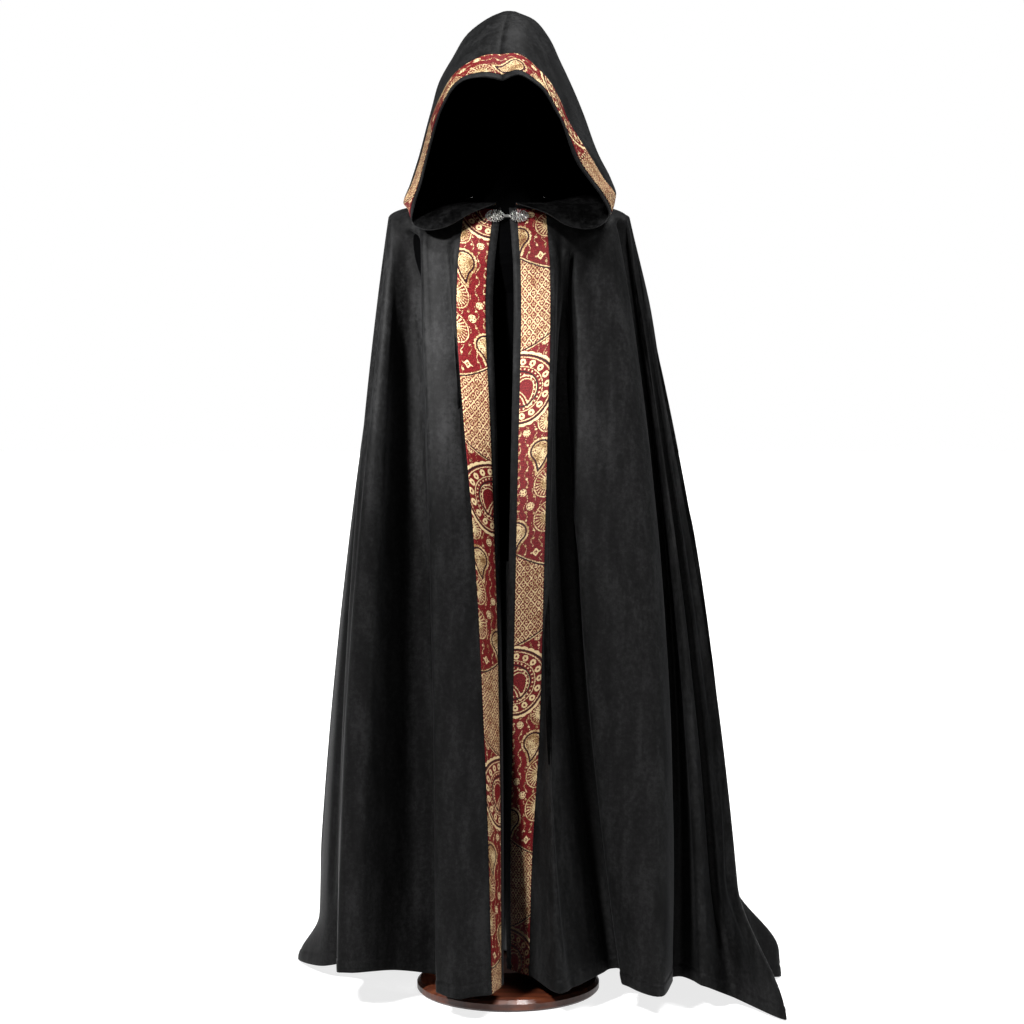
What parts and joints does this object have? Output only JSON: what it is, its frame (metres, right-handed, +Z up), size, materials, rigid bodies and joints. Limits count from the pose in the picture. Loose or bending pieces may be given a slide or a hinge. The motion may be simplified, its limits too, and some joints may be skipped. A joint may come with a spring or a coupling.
{
  "type": "hooded wool cloak on dress form",
  "caption": "Full-length hooded wool cloak with brocade strips and a neck clasp, hanging open in deep folds on a limbless dress form with a round wooden base.",
  "frame": {"origin": "centre of the round base's underside, on the floor", "axes": "+Z up, the garment's open front faces -Y, +X to the viewer's right"},
  "size_m": [0.9, 0.706, 1.751],
  "materials": {
    "wool": "matte fulled wool with a soft nap",
    "brocade": "woven brocade in burgundy and gold thread",
    "silver": "darkened antique silver",
    "form_cover": "tight black jersey",
    "steel": "black satin paint",
    "wood": "red-brown varnish"
  },
  "bodies": {
    "root": {"front_left": "wool", "front_right": "wool", "back_left": "wool", "back_right": "wool", "hood_left": "wool", "hood_right": "wool", "trim_front_left": "brocade", "trim_front_right": "brocade", "trim_hood": "brocade", "clasp_left": "silver", "clasp_right": "silver", "clasp_hook": "silver", "form_torso": "form_cover", "form_head": "form_cover", "form_pole": "steel", "form_base": "wood"}
  },
  "joints": []
}
